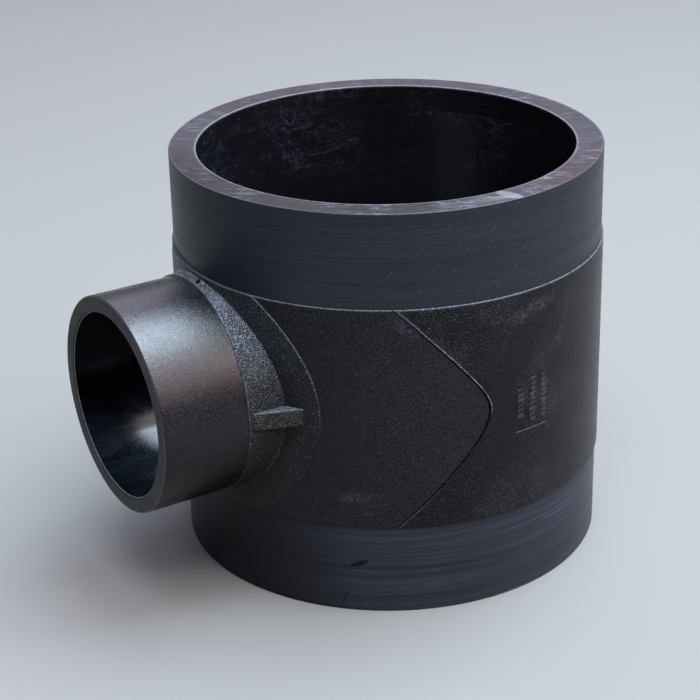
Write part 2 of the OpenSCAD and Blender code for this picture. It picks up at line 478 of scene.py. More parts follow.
def faced_end():
    """Sawn and faced rim: mauve grey, pinkish clouds, white smears along the saw's stroke, painted shade on
    one side, and pale edges that are partly wear and partly painted highlight.
    """
    s = Shader("faced_end", (0.0105, 0.0085, 0.011), 0.14)
    stroke = (0, 0, -32)
    radial = s.noise(1.0, at=s.rings(2, RUN_AXIS, 60.0, 12.0))
    saw = s.drawn((14, 420, 14), 2.0, turned=stroke)
    smears = s.drawn((34, 165, 60), 8.0, 0.76, 0.8, stroke)
    areas = s.noise(11.0, 3.0, 0.6)
    clouds = s.noise(7.0, 4.0, 0.6)
    s.bump(radial, 0.00014)
    s.bump(saw, 0.00014)
    s.layer(s.span(radial, 0.3, 0.7), (0.0215, 0.0185, 0.0225))
    s.layer(s.span(saw, 0.45, 0.7, 0, 0.4), (0.03, 0.026, 0.031))
    s.layer(s.span(clouds, 0.46, 0.62, 0, 0.8), (0.02, 0.0115, 0.012))
    # Painted shade: the rim is darker on its side toward +X.
    s.layer(s.span(s.toward(0.87, 0.5), 0.4, 0.9, 0.0, 0.75), (0.003, 0.0022, 0.003))
    white = (0.098, 0.099, 0.116)
    streaks = s.times(s.span(smears, 0.5, 0.64), s.span(areas, 0.44, 0.62, 0.15, 1.0))
    s.layer(s.times(streaks, s.span(s.toward(-0.34, 0.94), -0.2, 0.9, 0.5, 1.1)), white)
    rubbed = s.patch(*spot(295.5, 90.8, TOP_Z, 73.0, on_rim=True), 23.0, 10.0)
    s.layer(s.times(rubbed, 0.26), (0.2, 0.21, 0.24))
    wiped = s.patch(*spot(296.5, 81.0, TOP_Z, 0.0, on_rim=True), 70.0, 17.0, 1.4)
    s.layer(s.times(wiped, s.span(smears, 0.4, 0.62, 0.1, 0.5)), white)
    s.layer(s.specks(75, 0.05, 0.15), (0.2, 0.2, 0.22))
    s.wear((0.15, 0.155, 0.18), 0.8)
    return s.finish(s.span(clouds, 0.3, 0.7, 0.42, 0.58))


def wiped_marks(s, share):
    """Arcs, strokes and speckled clouds of wiped dust inside the run, mostly away from the branch's left."""
    areas = s.noise(6.5, 3.0, 0.6, 0.4)
    leaning = s.math("ADD", areas, s.times(s.toward(0.5, -0.87), 0.13))
    place = s.times(share, s.span(s.toward(0.09, -0.99), -0.35, 0.75, 0.3, 1.0))
    wiped = s.times(s.span(leaning, 0.42, 0.62), place)
    clouds = s.drawn((42, 42, 64), 6.0, 0.76, 1.0)
    speckled = s.times(wiped, s.span(s.noise(290.0, 3.0, 0.8), 0.44, 0.62, 0.06, 1.0))
    curls = s.math("SUBTRACT", s.noise(7.0, 2.0, 0.5, 1.0), 0.5)
    arcs = s.span(s.math("ABSOLUTE", curls), 0.016, 0.002)
    strokes = s.drawn((420, 420, 34), 4.0, 0.6, 0.3, (62, 10, 20))
    s.layer(s.times(speckled, s.span(clouds, 0.46, 0.7)), (0.022, 0.029, 0.041))
    s.layer(s.times(speckled, arcs), (0.022, 0.027, 0.036))
    s.layer(s.times(wiped, s.span(strokes, 0.58, 0.7, 0, 0.5)), (0.05, 0.058, 0.07))


def bored_band():
    """The band bored inside each rim, black and clean on one side, and wiped like the bore elsewhere."""
    s = Shader("bored_band", (0.0012, 0.0012, 0.0018), 0.12)
    fine = s.drawn((6, 6, 1100), 2.0)
    s.bump(fine, 0.00005)
    s.layer(s.span(fine, 0.35, 0.7), (0.0026, 0.0026, 0.0036))
    wiped_marks(s, s.span(s.toward(-0.94, 0.34), 0.65, 0.25, 0.0, 0.9))
    return s.finish(s.span(fine, 0.3, 0.7, 0.4, 0.52))


def moulded_bore():
    """Inside of the run: near black and smooth, with wiped smears toward its ends, and dust."""
    s = Shader("moulded_bore", (0.0018, 0.0017, 0.003), 0.19)
    flow = s.drawn((20, 20, 60))
    from_middle = s.math("ABSOLUTE", s.math("SUBTRACT", s.part("Z"), TOP_Z / METRE / 2))
    s.bump(flow, 0.0003, 0.5)
    s.layer(s.span(s.toward(-0.83, -0.56), 0.986, 0.9995, 0.0, 0.6), (0.005, 0.0052, 0.007))
    wiped_marks(s, s.span(from_middle, 0.1, 0.26, 0.0, 1.0))
    s.layer(s.specks(110, 0.05, 0.14), (0.07, 0.075, 0.085))
    return s.finish(s.span(flow, 0.3, 0.7, 0.34, 0.44))


def barrel_skin(name, radius, dark, light, grain, scuffs, roughness, marks):
    """Moulded barrel: spark-eroded grain, dusty smears and scratches, pale marks on its edges that are
    partly wear and partly painted highlight, and painted shade in its gaps.
    grain is its scale and depth. Each mark has its angle round the run, height, slant, half length,
    half width and softness, in degrees and millimetres."""
    s = Shader(name, dark, 0.15)
    scale, depth = grain
    pits = s.noise(scale, 1.0, 0.5)
    clouds = s.noise(9.0, 4.0, 0.6)
    swipes = s.drawn((150, 150, 15), 5.0, 0.7, 0.6, (38, 0, 25))
    dust = s.span(s.noise(560.0, 2.0, 0.8), 0.46, 0.6)
    broken = s.span(s.noise(150.0, 3.0, 0.7), 0.4, 0.58, 0.1, 1.0)
    s.bump(s.noise(0.5 * scale, 2.0, 0.6), depth)
    s.bump(pits, depth)
    s.layer(s.span(pits, 0.35, 0.68), light)
    smear = s.times(s.span(clouds, 0.46, 0.66), s.span(swipes, 0.46, 0.66))
    s.layer(s.times(smear, s.span(dust, 0.0, 1.0, 0.15 * scuffs, scuffs)), (0.03, 0.033, 0.041))
    across, along = 1 / 0.0014, 1 / 0.1
    for turned in ((35, 0, 20), (-28, 0, 50), (62, 0, 5)):
        scratches = s.span(s.drawn((across, across, along), 2.0, 0.5, 0.0, turned), 0.6, 0.72)
        scratches = s.times(scratches, s.span(clouds, 0.44, 0.6))
        s.layer(s.times(scratches, scuffs), (0.095, 0.1, 0.118))
    dusty = s.span(dust, 0.0, 1.0, 0.15, 1.0)
    for degrees, height, slant, half_length, half_width, soft in marks:
        rubbed = s.patch(*spot(radius, degrees, height, slant), half_length, half_width, soft)
        s.layer(s.times(s.times(rubbed, broken), dusty), (0.046, 0.051, 0.063))
    s.layer(s.specks(110, 0.07, 0.35), (0.17, 0.175, 0.19))
    s.wear((0.115, 0.13, 0.16))
    return s.finish(s.span(clouds, 0.3, 0.7, roughness, roughness + 0.08))


def coarse_skin(name, dark, light, dusty, roughness, specular, depth):
    """Coarse spark-eroded texture: part of its relief is in the mesh, and its finest pits are bump.
    Its peaks go from the light colour low down to the dusty colour, which is a painted highlight, on the
    part that faces up, where the ground is lightened too as painted top light."""
    s = Shader(name, dark, specular)
    cells = s.node("ShaderNodeTexVoronoi")
    s.feed(s.place, cells.inputs["Vector"])
    cells.inputs["Scale"].default_value = 480.0
    pits = cells.outputs["Distance"]
    lumps = s.noise(520.0, 1.0, 0.6)
    s.bump(lumps, depth)
    s.bump(pits, depth)
    # Painted highlight: the part that faces up is lightened, and its peaks take the pale dusty colour there.
    painted_top_light = s.span(s.part("Z"), 0.335, 0.44)
    peak = s.blend(painted_top_light, light, dusty)
    s.layer(painted_top_light, brighter(dusty, 0.07))
    s.layer(s.times(s.span(pits, 0.44, 0.18), s.span(lumps, 0.44, 0.58)), peak)
    s.layer(s.span(s.attribute("grain"), 0.1, 0.9, 0, 0.3), peak)
    s.layer(s.span(s.noise(14.0), 0.45, 0.75, 0, 0.2), peak)
    s.layer(s.specks(110, 0.05, 0.12), (0.09, 0.095, 0.105))
    s.wear((0.115, 0.128, 0.155))
    return s.finish(s.span(lumps, 0.35, 0.65, roughness + 0.12, roughness))


def gloss_branch():
    """Outside of the branch: glossy but finely stippled, with hazy patches, faint warm blotches that are a
    painted reflection, and painted glints on its upper side.
    """
    s = Shader("gloss_branch", (0.0014, 0.0014, 0.002), 0.31)
    stipple = s.noise(640.0, 2.0, 0.7)
    haze = s.noise(15.0, 4.0, 0.65, 0.5)
    brushed = s.drawn((160, 60, 60), 3.0, 0.6)
    s.bump(s.noise(130.0, 3.0, 0.6), 0.0002)
    s.bump(stipple, 0.00036)
    s.layer(s.span(haze, 0.4, 0.7), (0.004, 0.004, 0.0054))
    # Painted reflection: faint warm reddish blotches.
    s.layer(s.span(s.drawn((14, 9, 9)), 0.5, 0.72, 0, 0.6), (0.02, 0.006, 0.0062))
    # Painted glints: pale flecks on the upper side of the branch.
    painted_glints = s.span(s.noise(560.0, 3.0, 0.7), 0.5, 0.62)
    s.layer(s.times(painted_glints, s.span(s.part("Z"), 0.2, 0.36)), (0.018, 0.0185, 0.0225))
    s.layer(s.specks(110, 0.08, 0.3), (0.1, 0.1, 0.11))
    mixed = s.math("ADD", s.times(haze, 0.45), s.times(brushed, 0.25))
    mixed = s.math("ADD", mixed, s.times(stipple, 0.3))
    return s.finish(s.span(mixed, 0.4, 0.6, 0.08, 0.3))


def branch_face():
    """Faced rim of the branch: flat dark grey with arcs and small blemishes."""
    s = Shader("branch_face", (0.0115, 0.0115, 0.0115), 0.25)
    arcs = s.noise(1.0, 2.0, at=s.rings(0, BRANCH_AXIS, 5.0, 900.0))
    clouds = s.noise(30.0)
    s.bump(arcs, 0.00005)
    s.layer(s.span(arcs, 0.3, 0.7), (0.018, 0.018, 0.018))
    s.layer(s.span(clouds, 0.6, 0.8, 0, 0.5), (0.04, 0.042, 0.046))
    s.wear((0.24, 0.245, 0.265), 0.7)
    return s.finish(s.span(clouds, 0.3, 0.7, 0.5, 0.62))


def branch_bore():
    """Inside of the branch: black gloss, hazy with fine dust low down, and brushed curls deep inside."""
    s = Shader("branch_bore", (0.0009, 0.001, 0.0018), 0.2)
    speckle = s.drawn((380, 760, 760), 3.0, 0.7)
    clouds = s.drawn((14, 26, 26), 5.0, 0.7, 0.6)
    curls = s.math("SUBTRACT", s.noise(24.0, 2.0, 0.55, 1.2), 0.5)
    s.bump(speckle, 0.00002)
    low = s.span(s.part("Z"), 0.27, 0.19)
    dusty = s.times(s.span(clouds, 0.36, 0.68, 0.25, 0.8), s.span(speckle, 0.38, 0.6, 0.1, 0.9))
    s.layer(s.times(low, dusty), (0.012, 0.018, 0.027))
    lines = s.times(s.span(s.math("ABSOLUTE", curls), 0.04, 0.004), s.span(s.part("X"), 0.42, 0.36))
    lines = s.times(lines, s.span(s.part("Z"), 0.235, 0.215))
    s.layer(s.times(lines, s.span(speckle, 0.44, 0.56)), (0.026, 0.035, 0.045))
    blurred = s.span(s.part("Z"), 0.29, 0.33, 0.0, 0.3)
    return s.finish(s.math("ADD", s.span(clouds, 0.4, 0.62, 0.14, 0.19), blurred))


def torn_flash():
    """Remnant of flash on the seam: pale and whitish where it was torn."""
    s = Shader("torn_flash", (0.02, 0.021, 0.025), 0.5)
    torn = s.noise(300.0, 3.0, 0.6)
    s.bump(torn, 0.0003)
    s.layer(s.span(torn, 0.38, 0.66), (0.15, 0.162, 0.19))
    return s.finish(s.span(torn, 0.3, 0.7, 0.28, 0.5))


def raised_mark():
    """Raised marking, rubbed pale on top."""
    s = Shader("raised_mark", (0.005, 0.005, 0.0065), 0.32)
    rubbed = s.noise(90.0, 2.0, 0.6)
    s.bump(rubbed, 0.0002)
    s.layer(s.span(rubbed, 0.4, 0.64), (0.027, 0.029, 0.036))
    return s.finish(s.span(rubbed, 0.3, 0.7, 0.34, 0.5))


TURNED_TOP = turned_top()
TURNED_LOW = turned_low()
FACED = faced_end()
BAND = bored_band()
BORE = moulded_bore()
SHELL_MARKS = (
    (95.6, 437, 14, 60.0, 14.0, 1.3),
    (106.9, 397, 54, 36.0, 1.8, 0.8),
    (111.6, 296, 18, 23.0, 1.4, 0.8),
    (93.3, 313, 37, 24.0, 1.3, 0.8),
    (83.9, 449, 37, 14.0, 1.4, 0.8),
)
PANEL_MARKS = (
    (61.1, 440, -40, 30.0, 12.0, 1.4),
    (52.2, 171, 8, 30.0, 1.3, 0.8),
    (51.4, 158, 10, 26.0, 1.0, 0.8),
    (48.6, 183, 3, 40.0, 11.0, 1.4),
)
SHELL_SKIN = barrel_skin("shell_skin", SHELL_R, (0.0014, 0.0014, 0.0018), (0.0068, 0.0068, 0.0093),
                         (500.0, 0.0014), 0.48, 0.22, SHELL_MARKS)
PANEL_SKIN = barrel_skin("panel_skin", PANEL_R, (0.0012, 0.0012, 0.0016), (0.0168, 0.0174, 0.022),
                         (600.0, 0.0008), 0.08, 0.42, PANEL_MARKS)
# The fourth colour of each coarse skin is the painted highlight on its upward-facing part.
SADDLE_SKIN = coarse_skin("saddle_skin", (0.0008, 0.0008, 0.0012), (0.016, 0.017, 0.023),
                          (0.068, 0.077, 0.098), 0.28, 0.32, 0.0014)
COLLAR_SKIN = coarse_skin("collar_skin", (0.0009, 0.0009, 0.0012), (0.008, 0.008, 0.0098),
                          (0.4, 0.465, 0.57), 0.22, 0.46, 0.0019)
GLOSS = gloss_branch()
BRANCH_FACE = branch_face()
BRANCH_BORE = branch_bore()
FLASH = torn_flash()
MARK = raised_mark()


# ---------------- run ends
def arc_corner(r0, h0, r1, h1, steps=4):
    """Points of a quarter round from (r0, h0) to (r1, h1), leaving along the height."""
    turn = np.linspace(0, math.pi / 2, steps + 1)
    return np.stack([r0 + (r1 - r0) * (1 - np.cos(turn)), h0 + (h1 - h0) * np.sin(turn)], axis=1)


def turning_bands(height, seed, depth):
    """Height of the broad turned bands on a machined wall."""
    return depth * (0.6 * noise_at(height, 7.0, seed) + 0.4 * noise_at(height, 2.6, seed + 1))


def run_end(node, upward, seed, skin):
    """A machined pipe end. Heights in its profile are measured down from the rim."""
    length = TOP_Z - BARREL_HIGH
    outer = np.arange(length, RIM_ROUND, -1.5)
    outer_r = RUN_R - 0.05 + turning_bands(outer, seed, 0.05) * np.clip((length - outer) / 4, 0, 1)
    outer_rim = arc_corner(outer_r[-1], RIM_ROUND, RUN_R - 1.3, 0.0)
    inner_rim = arc_corner(BAND_R, RIM_ROUND, BAND_R + RIM_ROUND, 0.0)[::-1]
    band = np.arange(RIM_ROUND + 1.5, BAND_DEPTH - 1, 1.5)
    parts = [
        (wall(outer_r, outer), 0),
        (outer_rim[:-2], 0),
        (outer_rim[-2:], 1),
        (wall(np.linspace(RUN_R - 4, BAND_R + 4, 12), 0.0), 1),
        (inner_rim, 1),
        (wall(BAND_R + turning_bands(band, seed + 5, 0.06), band), 2),
        (wall(BAND_R, [BAND_DEPTH]), 2),
        (wall(BORE_R, np.linspace(BAND_DEPTH + 11, length, 30)), 3),
    ]

    def place(angle, radius, height):
        return about_run(angle, radius, TOP_Z - height if upward else height)

    # Pale rim edges, partly wear and partly painted highlight.
    def wear_and_painted_light_at(radius, height):
        outer_edge = edge_wear(np.hypot(radius - RUN_R + 0.4, height), 1.5)
        inner_edge = edge_wear(np.hypot(radius - BAND_R - 0.4, height), 1.5)
        return np.maximum(0.35 * outer_edge, inner_edge)

    shape, wear = lathe(parts, place, wear_and_painted_light_at)
    add_piece(node, "turned", shape, [skin, FACED, BAND, BORE], wear)


# ---------------- barrel
def seam_x(z):
    """Distance of the seam from the plane across the run's axis."""
    rise = z - BRANCH_Z
    wander = 0.5 * noise_at(z, 11.0, 4, y=3.3) + 0.9 * noise_at(z, 46.0, 5, y=3.3)
    return np.hypot(SEAM_POINT, SEAM_LEAN * rise) + wander


def seam_angle(z, radius):
    return np.arccos(seam_x(z) / radius)


def gap_share(z):
    """How open the gap beside the seam is: nearly closed at its top."""
    return np.interp(z, [BARREL_LOW, 175, 215, 400, 430, BARREL_HIGH], [0.45, 0.6, 1.0, 1.0, 0.35, 0.1])


def saddle_y(z):
    """Half width of the round saddle at a height."""
    return np.sqrt(SADDLE_RADIUS**2 - (z - BRANCH_Z)**2)


def ledge_drop(z, radius=LEDGE_ROUND):
    """How far a barrel surface falls at its two ledges."""
    return rounding(z - BARREL_LOW, radius) + rounding(BARREL_HIGH - z, radius)


def orange_peel(points, seed, depth):
    """Slow waviness of a thick moulded wall."""
    return depth * (lattice_noise(points, 60.0, seed) + 0.4 * lattice_noise(points, 22.0, seed + 1))


BARREL_ROWS = BARREL_LOW + edge_rows(BARREL_HIGH - BARREL_LOW, LEDGE_ROUND, 2.8)
WALL_SHARES = np.array([0, 0.5, 0.93, 1.0])
OUTER = len(WALL_SHARES) - 1
SEAM_ROUND = 0.6


def rear_shell():
    span = math.pi * SHELL_R * 1.2
    arcs = edge_rows(span, SEAM_ROUND, 3.2) / span

    def place(i, j, k):
        z = BARREL_ROWS[j]
        radius = BORE_R + (SHELL_R - BORE_R) * WALL_SHARES[k]
        start = seam_angle(z, radius)
        angle = start + arcs[i] * 2 * (math.pi - start)
        off_seam = np.minimum(arcs[i], 1 - arcs[i]) * span
        peel = np.minimum(orange_peel(about_run(angle, radius, z), 11, 0.12), 0)
        drop = ledge_drop(z) + rounding(off_seam, SEAM_ROUND) - peel
        return about_run(angle, radius - drop * (k == OUTER), z)

    # Pale torn flash along the seam, fading out through its middle, and a painted highlight line along the
    # top ledge.
    def wear_and_painted_light_at(i, j, k):
        z = BARREL_ROWS[j]
        patchy = noise_at(0.0, 9.0, 91, x=z)
        along = np.interp(z, [135, 175, 210, 300, 330, 420], [0.8, 0.55, 0.0, -0.3, 0.1, 1.0])
        width = np.interp(z, [330, 400], [0.6, 1.1])
        seam = edge_wear(np.minimum(arcs[i], 1 - arcs[i]) * span - width, width)
        ledge = 0.7 * edge_wear(BARREL_HIGH - z - 0.4, 1.5)
        return np.maximum(seam * np.clip(along + 0.3 * patchy, 0, 1), ledge) * (k == OUTER)

    shape, wear = slab((arcs, BARREL_ROWS, WALL_SHARES), place, sides=(1, 0, 0, 0, 0, 0), extra=wear_and_painted_light_at)
    add_piece("rear_shell", "moulded", shape, [SHELL_SKIN, BORE], wear)


def branch_panel(side, node):
    """The barrel's skin between saddle and seam, on one side: 1 is +Y, -1 is -Y.
    Beside the seam it drops into a narrow groove."""
    width = 240.0
    across = edge_rows(width, SEAM_ROUND, 2.8)
    across = np.unique(np.concatenate([across, width - np.array([2.5, 2.8, 3.1, 3.4, 3.9])])) / width

    def place(i, j, k):
        z = BARREL_ROWS[j]
        radius = BORE_R + (PANEL_R - BORE_R) * WALL_SHARES[k]
        start = np.arcsin(saddle_y(z) / radius)
        end = seam_angle(z, radius)
        angle = start + across[i] * (end - start)
        off_seam = (1 - across[i]) * width
        groove = gap_share(z) * GAP_DEPTH * np.clip(GAP_WIDTH - off_seam, 0, 0.45) / 0.45
        groove += rounding(off_seam - GAP_WIDTH, 0.7) * (off_seam > GAP_WIDTH)
        peel = np.minimum(orange_peel(about_run(angle, radius, z), 21, 0.15), 0)
        drop = ledge_drop(z, 1.2) + groove - peel
        points = about_run(angle, radius - drop * (k == OUTER), z)
        points[:, 1] *= side
        return points

    # Painted shade, near black, in the groove beside the seam, and a painted highlight line along the top
    # ledge.
    def wear_and_painted_light_at(i, j, k):
        z = BARREL_ROWS[j]
        gap = gap_share(z) * np.clip((GAP_WIDTH + 0.2 - (1 - across[i]) * width) / 0.4, 0, 1)
        ledge = 0.7 * edge_wear(BARREL_HIGH - z - 0.4, 1.3)
        return np.where(gap > 0, -gap, ledge) * (k == OUTER)

    shape, wear = slab((across, BARREL_ROWS, WALL_SHARES), place, sides=(1, 0, 0, 0, 0, 0), extra=wear_and_painted_light_at)
    add_piece(node, "moulded", shape, [PANEL_SKIN, BORE], wear)


def saddle_reach(angle):
    """Distance from the branch's axis to the saddle's edge, round or cut off by the pipe ends."""
    high = (BARREL_HIGH - BRANCH_Z) / np.maximum(np.sin(angle), 1e-6)
    low = (BRANCH_Z - BARREL_LOW) / np.maximum(-np.sin(angle), 1e-6)
    return np.minimum(SADDLE_RADIUS, np.minimum(high, low))


def branch_saddle():
    """The saddle, on a grid of rays about the branch's axis. Its mouth into the run is rounded."""
    high_corner = math.asin((BARREL_HIGH - BRANCH_Z) / SADDLE_RADIUS)
    low_corner = math.asin((BRANCH_Z - BARREL_LOW) / SADDLE_RADIUS)
    angles = np.linspace(-math.pi / 2, 1.5 * math.pi, BRANCH_STEPS, endpoint=False)
    for turn in (high_corner, math.pi - high_corner, -low_corner, math.pi + low_corner):
        angles[np.argmin(np.abs(angles - turn))] = turn
    reach = SADDLE_RADIUS - BRANCH_BORE_R
    near_rim = reach - np.array([2, 1.2, 0.7, 0.35, 0.12, 0])
    out = np.concatenate([[0], np.arange(9, reach - 3, 1.6), near_rim]) / reach
    shares = np.array([0, 0.06, 0.14, 0.24, 0.36, 0.5, 0.93, 1.0])
    mouth = 22.0

    def place(i, j, k):
        angle = angles[i]
        share = shares[k]
        open_share = np.clip(1 - share / 0.5, 0, 1)
        start = BRANCH_BORE_R + mouth * (1 - np.sqrt(1 - open_share**2))
        away = start + out[j] * (saddle_reach(angle) - start)
        y = away * np.cos(angle)
        z = BRANCH_Z + away * np.sin(angle)
        radius = BORE_R + (SADDLE_R - BORE_R) * share
        spots = np.stack([np.sqrt(radius**2 - y**2), y, z], axis=1)
        edge = (1 - out[j]) * reach
        drop = ledge_drop(z, 1.2) + rounding(edge, 0.7) + 0.3 * (1 - coarse_grain(spots, SADDLE_SEED))
        radius = radius - drop * (k == len(shares) - 1)
        return np.stack([np.sqrt(radius**2 - y**2), y, z], axis=1)

    # Painted highlight: a pale line on the upper half of the saddle's round edge, and along the top ledge.
    def wear_and_painted_light_at(i, j, k):
        away = saddle_reach(angles[i])
        rim = edge_wear((1 - out[j]) * reach, 1.1) * np.clip(0.1 + 0.8 * np.sin(angles[i]), 0, 1)
        high = BRANCH_Z + (BRANCH_BORE_R + out[j] * (away - BRANCH_BORE_R)) * np.sin(angles[i])
        return np.maximum(rim * (away > SADDLE_RADIUS - 0.5), 0.35 * edge_wear(BARREL_HIGH - high, 1.6))

    shape, wear = slab((angles, out, shares), place, closed=True, sides=(1, 0, 2, 0), extra=wear_and_painted_light_at)
    materials = [SADDLE_SKIN, BORE, BRANCH_BORE]
    add_piece("branch_saddle", "grained", shape, materials, wear, SADDLE_SEED)


# ---------------- collar, branch, gussets
def saddle_x(y):
    """Where the saddle's outer surface is, at a distance sideways."""
    return np.sqrt(SADDLE_R**2 - y**2)


def collar_r(x):
    """Radius of the collar, which flares a little toward its foot."""
    foot = BORE_R - 60
    return COLLAR_R + COLLAR_FLARE * (COLLAR_X - x) / (COLLAR_X - foot)


def branch_collar():
    """The collar, from its saddle-shaped foot to the ring edge in front."""
    angles = np.linspace(0, 2 * math.pi, BRANCH_STEPS, endpoint=False)
    along = np.concatenate([np.linspace(0, 0.92, 30), 1 - np.array([0.05, 0.03, 0.015, 0.006, 0.0015, 0])])
    shares = np.array([0, 0.5, 0.88, 1.0])

    def place(i, j, k):
        angle = angles[i]
        wide = BRANCH_BORE_R + (collar_r(300.0) - BRANCH_BORE_R) * shares[k]
        foot = saddle_x(wide * np.cos(angle)) - 0.6
        x = foot + (COLLAR_X - foot) * along[j]
        to_ring = COLLAR_X - x
        grain = coarse_grain(about_branch(angle, wide, x), COLLAR_SEED)
        relief = 0.34 * np.clip(to_ring / 1.5, 0, 1) * (1 - grain)
        cut = rounding(to_ring, 0.9) + relief - rounding(x - foot, 3.5)
        radius = np.where(k == len(shares) - 1, collar_r(x) - cut, wide)
        return about_branch(angle, radius, x)

    # Pale ring edge and foot, as wear, made stronger on the upper side as a painted highlight.
    def wear_and_painted_light_at(i, j, k):
        long = COLLAR_X - saddle_x(COLLAR_R * np.cos(angles[i]))
        upper = np.clip(0.45 + 0.7 * np.sin(angles[i]), 0.1, 1)
        ring = edge_wear((1 - along[j]) * long, 1.3)
        return upper * np.maximum(ring, 0.5 * edge_wear(along[j] * long, 3.0))

    shape, wear = slab((angles, along, shares), place, closed=True, sides=(1, 0, 0, 2), extra=wear_and_painted_light_at)
    materials = [COLLAR_SKIN, BRANCH_BORE, BRANCH_FACE]
    add_piece("branch_collar", "grained", shape, materials, wear, COLLAR_SEED)


def branch_spigot():
    """The branch's pipe end, with a fine ring sunk round the bore in its face."""
    lip, sunk = 2.6, 0.6
    lip_r, floor_x = BRANCH_BORE_R + lip, BRANCH_X - sunk
    outer_rim = arc_corner(BRANCH_R, BRANCH_X - RIM_ROUND, BRANCH_R - RIM_ROUND, BRANCH_X)
    ring = np.array([
        [lip_r, BRANCH_X - 0.2], [lip_r - 0.2, floor_x - 0.4], [lip_r - 0.7, floor_x],
        [BRANCH_BORE_R + 0.8, floor_x], [BRANCH_BORE_R + 0.2, floor_x - 0.3],
    ])
    bore = np.concatenate([[floor_x - 0.9], np.arange(BRANCH_X - 4, COLLAR_X, -4.0), [COLLAR_X]])
    parts = [
        (wall(BRANCH_R, np.arange(COLLAR_X, BRANCH_X - RIM_ROUND, 2.4)), 0),
        (outer_rim[:-2], 0),
        (outer_rim[-2:], 1),
        (wall(np.linspace(BRANCH_R - 3, lip_r + 0.4, 8), BRANCH_X), 1),
        (ring, 1),
        (wall(BRANCH_BORE_R, bore), 2),
    ]

    def place(angle, radius, x):
        spots = about_branch(angle, radius, x)
        outside = (radius > BRANCH_R - 0.01) * np.clip((x - COLLAR_X) / 6, 0, 1)
        wave = np.minimum(orange_peel(spots, 51, 0.22), 0)
        return about_branch(angle, radius + outside * wave, x)

    # Pale wear on the rim and lip edges, and painted shade, near black, in the sunk ring's groove.
    def wear_and_painted_light_at(radius, x):
        edge = edge_wear(np.hypot(radius - BRANCH_R + 0.4, x - BRANCH_X), 1.3)
        lip_edge = edge_wear(np.hypot(radius - BRANCH_BORE_R - 0.4, x - floor_x), 1.3)
        groove = edge_wear(np.hypot(radius - lip_r + 0.5, x - floor_x), 1.4)
        return np.maximum(edge, lip_edge) - groove

    shape, wear = lathe(parts, place, wear_and_painted_light_at)
    add_piece("branch_spigot", "gloss", shape, [GLOSS, BRANCH_FACE, BRANCH_BORE], wear)


def gusset_rib(side, node):
    """A gusset between the collar's flank and the saddle, sunk a little into both."""
    low, high = corner(node, False), corner(node, True)
    tip = np.array([high[0] + 1.0, COLLAR_R + 0.1])
    foot = np.array([low[0] - 0.5, high[1] if side > 0 else -low[1]])
    crook = np.array([saddle_x(COLLAR_R + 2), COLLAR_R + 1.0])
    along = np.linspace(0, 1, 42)
    rounded = 1.3
    up = low[2] + edge_rows(high[2] - low[2], rounded, 1.7)
    shares = np.array([0, 0.8, 1.0])
    bend = np.linalg.norm(crook - tip) / (np.linalg.norm(crook - tip) + np.linalg.norm(foot - crook))

    def place(i, j, k):
        t = along[i][:, None]
        face = tip + (foot - tip) * t
        first = tip + (crook - tip) * t / bend
        second = crook + (foot - crook) * (t - bend) / (1 - bend)
        root = np.where(t < bend, first, second) - np.array([1.2, 2.2])
        spots = np.concatenate([face, up[j][:, None]], axis=1)
        edge = rounding(up[j] - low[2], rounded) + rounding(high[2] - up[j], rounded)
        sink = (edge + 0.25 * (1 - coarse_grain(spots, GUSSET_SEED))) * (k == len(shares) - 1)
        inward = root - face
        inward = inward / np.maximum(np.linalg.norm(inward, axis=1, keepdims=True), 1e-6)
        flat = root + (face - root) * shares[k][:, None] + inward * sink[:, None]
        return np.stack([flat[:, 0], side * flat[:, 1], up[j]], axis=1)

    # Pale wear on the top edge, and a painted highlight over the whole top face.
    def wear_and_painted_light_at(i, j, k):
        edge = np.maximum(edge_wear(high[2] - up[j], 2.0), 0.3 * edge_wear(up[j] - low[2], 1.0))
        return np.maximum(edge * (k == len(shares) - 1), 0.55 * (j == len(up) - 1))

    shape, wear = slab((along, up, shares), place, extra=wear_and_painted_light_at)
    add_piece(node, "grained", shape, [COLLAR_SKIN], wear, GUSSET_SEED)


# ---------------- small raised details
def joined(shapes):
    """Several closed shapes as one list of points, quads and groups."""
    points, quads, groups = zip(*shapes)
    firsts = np.cumsum([0] + [len(p) for p in points])
    quads = [q + first for q, first in zip(quads, firsts)]
    return np.concatenate(points), np.concatenate(quads), np.concatenate(groups)


def crown_tick():
    """The alignment tick on the collar: a small rounded bar, turned a little from the branch's axis."""
    low, high = corner("crown_tick", False), corner("crown_tick", True)
    turn = math.atan2(high[1] - low[1] - 1.7, high[0] - low[0] - 1.0)
    along = np.array([math.cos(turn), math.sin(turn), 0])
    across = np.array([-math.sin(turn), math.cos(turn), 0])
    length, width, height = 10.4, 1.6, high[2] - low[2]
    rounded = 0.3
    steps = [edge_rows(size, min(rounded, size / 5), 1.2) for size in (length, width, height)]
    middle = np.array([(low[0] + high[0]) / 2, (low[1] + high[1]) / 2, low[2]])
    start = middle - along * length / 2 - across * width / 2

    def place(i, j, k):
        lean = rounded * (k / (len(steps[2]) - 1))**3
        a, b = steps[0][i], steps[1][j]
        a = a + (1 - 2 * a / length) * lean
        b = b + (1 - 2 * b / width) * lean
        return start + np.outer(a, along) + np.outer(b, across) + np.outer(steps[2][k], (0, 0, 1))

    add_piece("crown_tick", "moulded", slab(steps, place), [MARK])


